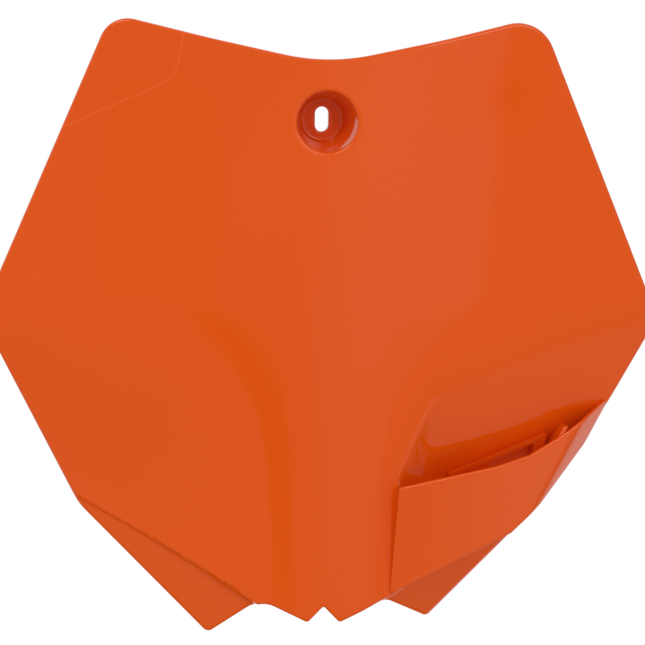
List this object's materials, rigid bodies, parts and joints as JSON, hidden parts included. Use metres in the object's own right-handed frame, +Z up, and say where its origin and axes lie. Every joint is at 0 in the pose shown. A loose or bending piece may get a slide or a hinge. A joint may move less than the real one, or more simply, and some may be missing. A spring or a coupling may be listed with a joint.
{
  "type": "racing number board",
  "caption": "Moulded front number board for an off-road motorbike, with a recessed bolt well and a strap that guides the brake hose.",
  "frame": {"origin": "centre of the bolt slot, on the seat at the back of the mounting well", "axes": "the face looks along -Y, +Z is up along the slot, +X is to the right of a viewer in front"},
  "size_m": [0.2688, 0.0372, 0.2439],
  "materials": {
    "orange_plastic": "glossy moulded polypropylene"
  },
  "bodies": {
    "root": {"number_board": "orange_plastic"}
  },
  "joints": []
}
